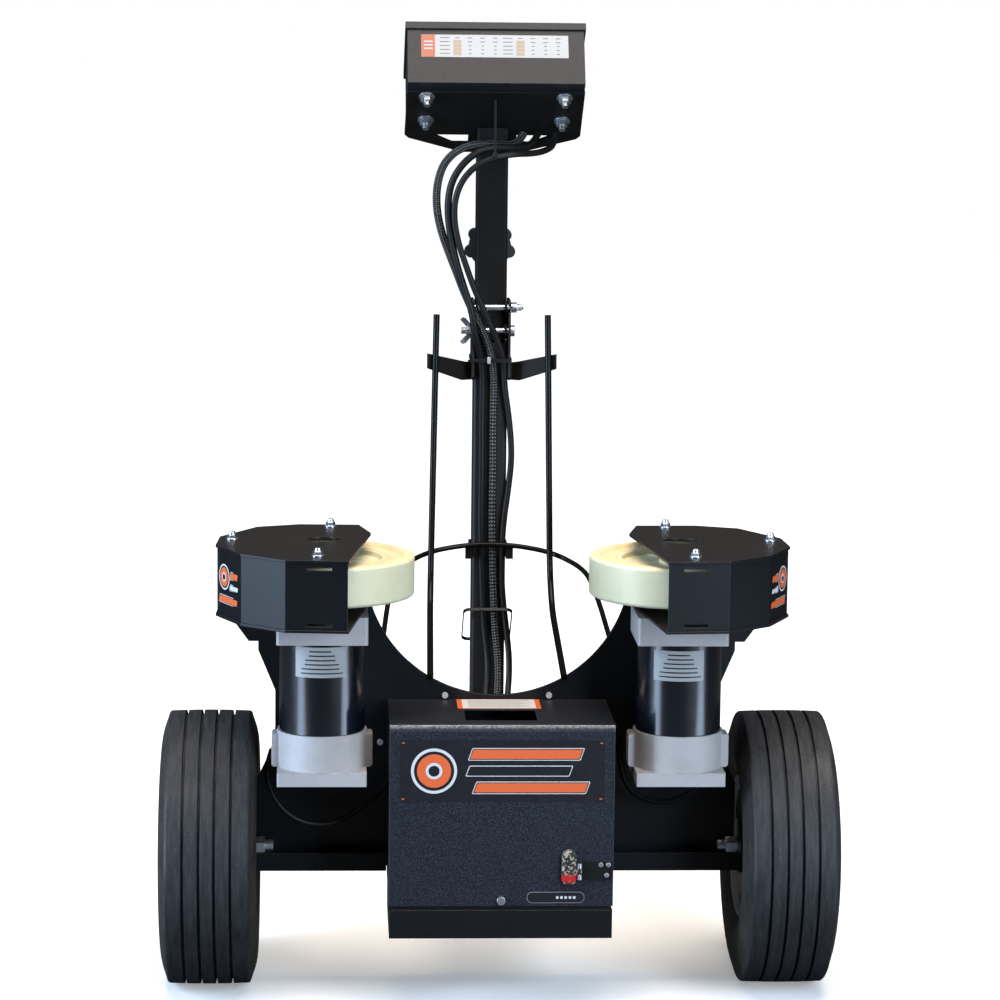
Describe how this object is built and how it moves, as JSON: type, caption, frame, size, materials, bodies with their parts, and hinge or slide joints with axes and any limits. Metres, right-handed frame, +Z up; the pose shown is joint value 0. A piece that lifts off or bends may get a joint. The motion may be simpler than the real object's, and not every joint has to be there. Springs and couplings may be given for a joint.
{
  "type": "two-wheel ball throwing machine",
  "caption": "Wheeled ball throwing machine: two spinning wheels on a curved plate, battery box between road tyres, ball guide rods and a folding mast with a control box.",
  "frame": {"origin": "middle of the footprint, on the ground", "axes": "+Z up; the ball leaves towards -Y; the operator stands at +Y; +X is the right hand in the front view"},
  "size_m": [0.806, 0.666, 1.1543],
  "materials": {
    "frame_paint": "satin fine-texture black powder coat",
    "box_paint": "coarse crinkle black powder coat",
    "rod_paint": "gloss black",
    "tyre_rubber": "dull, scuffed",
    "rim_paint": "satin grey",
    "bearing_steel": "satin",
    "zinc": "zinc plated",
    "fittings": "satin black",
    "urethane": "cream polyurethane, satin",
    "hub_plastic": "cream, satin",
    "steel": "turned",
    "cast_alloy": "satin cast",
    "gloss_black": "gloss black",
    "battery_case": "matt black",
    "knob_plastic": "matt black",
    "cap_rubber": "matt, speckled",
    "foot_rubber": "matt",
    "sleeve_fabric": "braided black sleeve",
    "hose": "satin black jacket"
  },
  "bodies": {
    "frame": {"axle_bolts": "zinc", "axle_channel_left": "frame_paint", "axle_channel_right": "frame_paint", "ball_hoop": "rod_paint", "ball_rods": "rod_paint", "battery": "battery_case", "battery_box": "box_paint", "battery_tray": "box_paint", "box_fittings": "fittings", "cable_ties": "knob_plastic", "charger_socket": "knob_plastic", "control_cable_left": "sleeve_fabric", "control_cable_middle": "hose", "control_cable_right": "hose", "deck_left": "frame_paint", "deck_right": "frame_paint", "guard_fasteners": "zinc", "guard_top_left": "frame_paint", "guard_top_right": "frame_paint", "guard_wall_left": "frame_paint", "guard_wall_right": "frame_paint", "guide_brackets": "frame_paint", "lower_mast": "frame_paint", "main_plate": "frame_paint", "motor_can_left": "gloss_black", "motor_can_right": "gloss_black", "motor_end_bell_left": "cast_alloy", "motor_end_bell_right": "cast_alloy", "motor_flange_left": "cast_alloy", "motor_flange_right": "cast_alloy", "motor_lead_left": "hose", "motor_lead_right": "hose", "pivot_bolt": "zinc", "rear_beam": "frame_paint"},
    "ground_wheel_left": {"tyre_left": "tyre_rubber", "rim_left": "rim_paint", "wheel_bearings_left": "bearing_steel"},
    "ground_wheel_right": {"tyre_right": "tyre_rubber", "rim_right": "rim_paint", "wheel_bearings_right": "bearing_steel"},
    "throw_wheel_left": {"throw_tyre_left": "urethane", "throw_hub_left": "hub_plastic", "motor_rotor_left": "steel"},
    "throw_wheel_right": {"throw_tyre_right": "urethane", "throw_hub_right": "hub_plastic", "motor_rotor_right": "steel"},
    "mast_top": {"upper_mast": "frame_paint", "control_box": "frame_paint", "control_panel": "frame_paint", "mount_plate": "frame_paint", "console_bolts": "zinc", "latch_bolt": "zinc"},
    "mast_knob": {"mast_knob": "knob_plastic"},
    "speed_knob_left": {"speed_knob_left": "knob_plastic"},
    "speed_knob_right": {"speed_knob_right": "knob_plastic"},
    "power_switch": {"power_switch": "knob_plastic"},
    "charger_cap": {"charger_cap": "cap_rubber"},
    "rear_leg": {"rear_leg": "frame_paint", "rear_foot": "foot_rubber"},
    "leg_knob": {"leg_knob": "knob_plastic"}
  },
  "joints": [
    {"name": "ground_wheel_left_spin", "type": "hinge", "parent": "frame", "child": "ground_wheel_left", "pos_m": [-0.3453, -0.1, 0.165], "axis": [1, 0, 0], "continuous": true},
    {"name": "ground_wheel_right_spin", "type": "hinge", "parent": "frame", "child": "ground_wheel_right", "pos_m": [0.3453, -0.1, 0.165], "axis": [1, 0, 0], "continuous": true},
    {"name": "throw_wheel_left_spin", "type": "hinge", "parent": "frame", "child": "throw_wheel_left", "pos_m": [-0.211, -0.178, 0.51], "axis": [0, 0, 1], "continuous": true},
    {"name": "throw_wheel_right_spin", "type": "hinge", "parent": "frame", "child": "throw_wheel_right", "pos_m": [0.211, -0.178, 0.51], "axis": [0, 0, 1], "continuous": true},
    {"name": "mast_fold", "type": "hinge", "parent": "frame", "child": "mast_top", "pos_m": [0, 0.163, 0.7673], "axis": [1, 0, 0], "range_deg": [0, 90], "deforming": ["control_cable_left", "control_cable_middle", "control_cable_right"]},
    {"name": "mast_knob_turn", "type": "hinge", "parent": "mast_top", "child": "mast_knob", "pos_m": [0, 0.22, 0.869], "axis": [0, 1, 0], "continuous": true},
    {"name": "speed_knob_left_turn", "type": "hinge", "parent": "mast_top", "child": "speed_knob_left", "pos_m": [-0.055, 0.18083, 1.11846], "axis": [0, 0.5299, 0.848], "range_deg": [0, 280]},
    {"name": "speed_knob_right_turn", "type": "hinge", "parent": "mast_top", "child": "speed_knob_right", "pos_m": [0.055, 0.18083, 1.11846], "axis": [0, 0.5299, 0.848], "range_deg": [0, 280]},
    {"name": "power_switch_rock", "type": "hinge", "parent": "mast_top", "child": "power_switch", "pos_m": [0, 0.18136, 1.1193], "axis": [-1, 0, 0], "range_deg": [0, 20]},
    {"name": "charger_cap_swing", "type": "hinge", "parent": "frame", "child": "charger_cap", "pos_m": [0.0918, -0.2422, 0.17], "axis": [0, 0, 1], "range_deg": [0, 110]},
    {"name": "rear_leg_height", "type": "slide", "parent": "frame", "child": "rear_leg", "axis": [0, 0, 1], "range_m": [-0.08, 0.05]},
    {"name": "leg_knob_turn", "type": "hinge", "parent": "frame", "child": "leg_knob", "pos_m": [0.02, 0.3, 0.11], "axis": [1, 0, 0], "continuous": true}
  ]
}
